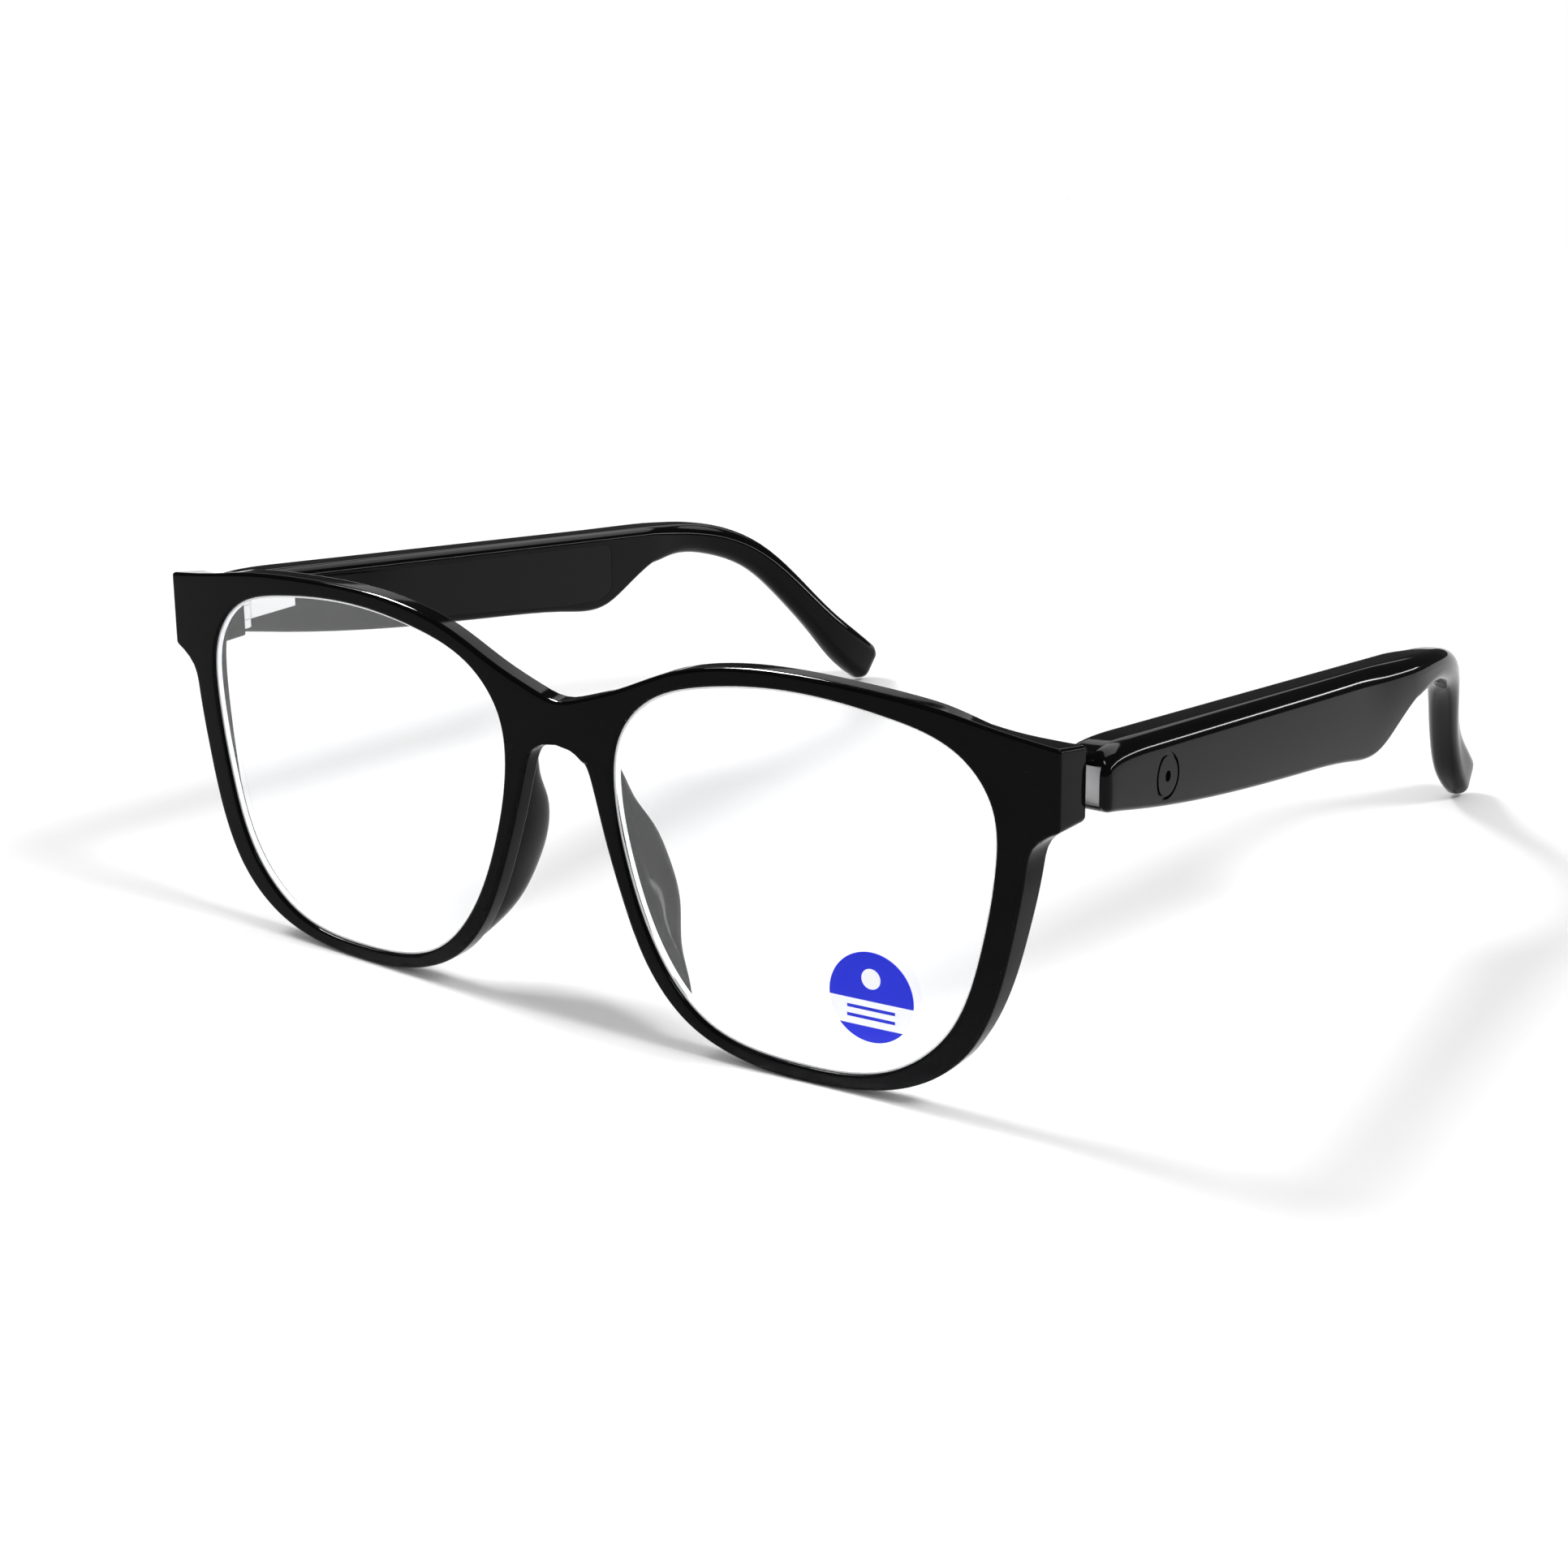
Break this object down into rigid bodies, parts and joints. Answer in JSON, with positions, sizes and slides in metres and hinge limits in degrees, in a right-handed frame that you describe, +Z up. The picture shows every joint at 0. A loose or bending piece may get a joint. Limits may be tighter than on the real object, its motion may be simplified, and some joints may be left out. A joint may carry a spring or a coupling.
{
  "type": "smart glasses",
  "caption": "Glossy black smart glasses: curved front with clear lenses and moulded nose pads, sprung folding hinges, and deep audio temples with down-bent ear hooks.",
  "frame": {"origin": "middle of the base of the whole object's box, on the surface that the rims and ear tips stand on", "axes": "+X towards the wearer's left, +Y from the front back to the ear tips, +Z up"},
  "size_m": [0.1492, 0.1535, 0.0532],
  "materials": {
    "frame_black": "polished black acetate",
    "temple_black": "polished black",
    "cover_black": "polished black",
    "lens_clear": "clear, coated",
    "sticker_blue": "printed film",
    "hinge_steel": "polished",
    "screw_steel": "polished",
    "spring_wire": "bright wire",
    "gasket_foam": "closed foam",
    "sensor_film": "copper film",
    "board_green": "solder mask",
    "battery_foil": "laminate foil",
    "speaker_black": "moulded",
    "grille_steel": "black mesh",
    "mic_can": "plain",
    "light_pipe": "frosted clear",
    "port_plastic": "fine texture",
    "contact_gold": "gold plated",
    "antenna_copper": "copper film",
    "core_wire": "drawn wire"
  },
  "bodies": {
    "front": {"front_frame": "frame_black", "lens_left": "lens_clear", "lens_right": "lens_clear", "lens_sticker": "sticker_blue", "hinge_leaf_left": "hinge_steel", "hinge_leaf_right": "hinge_steel", "hinge_screw_left": "screw_steel", "hinge_screw_right": "screw_steel", "leaf_screws_left": "screw_steel", "leaf_screws_right": "screw_steel"},
    "hinge_left": {"hinge_slider_left": "hinge_steel"},
    "hinge_right": {"hinge_slider_right": "hinge_steel"},
    "temple_left": {"antenna_strip_left": "antenna_copper", "battery_left": "battery_foil", "charge_contacts_left": "contact_gold", "charge_port_left": "port_plastic", "control_board_left": "board_green", "cover_gasket_left": "gasket_foam", "hinge_spring_left": "spring_wire", "microphone_left": "mic_can", "speaker_grille_left": "grille_steel", "speaker_left": "speaker_black", "spring_box_left": "hinge_steel", "status_light_left": "light_pipe", "temple_cover_left": "cover_black", "temple_shell_left": "temple_black", "tip_core_left": "core_wire", "touch_sensor_left": "sensor_film"},
    "temple_right": {"antenna_strip_right": "antenna_copper", "battery_right": "battery_foil", "charge_contacts_right": "contact_gold", "charge_port_right": "port_plastic", "control_board_right": "board_green", "cover_gasket_right": "gasket_foam", "hinge_spring_right": "spring_wire", "microphone_right": "mic_can", "speaker_grille_right": "grille_steel", "speaker_right": "speaker_black", "spring_box_right": "hinge_steel", "status_light_right": "light_pipe", "temple_cover_right": "cover_black", "temple_shell_right": "temple_black", "tip_core_right": "core_wire", "touch_sensor_right": "sensor_film"}
  },
  "joints": [
    {"name": "left_fold", "type": "hinge", "parent": "front", "child": "hinge_left", "pos_m": [0.0672, -0.06375, 0.0426], "axis": [0, 0, 1], "range_deg": [0, 86]},
    {"name": "left_spring_travel", "type": "slide", "parent": "hinge_left", "child": "temple_left", "axis": [-0.0401, 0.9992, 0], "range_m": [0, 0.0012], "stiffness_N_per_m": 3000, "springref_m": -0.0004, "deforming": ["hinge_spring_left"]},
    {"name": "right_fold", "type": "hinge", "parent": "front", "child": "hinge_right", "pos_m": [-0.0672, -0.06375, 0.0426], "axis": [0, 0, -1], "range_deg": [0, 72]},
    {"name": "right_spring_travel", "type": "slide", "parent": "hinge_right", "child": "temple_right", "axis": [0.0401, 0.9992, 0], "range_m": [0, 0.0012], "stiffness_N_per_m": 3000, "springref_m": -0.0004, "deforming": ["hinge_spring_right"]}
  ]
}
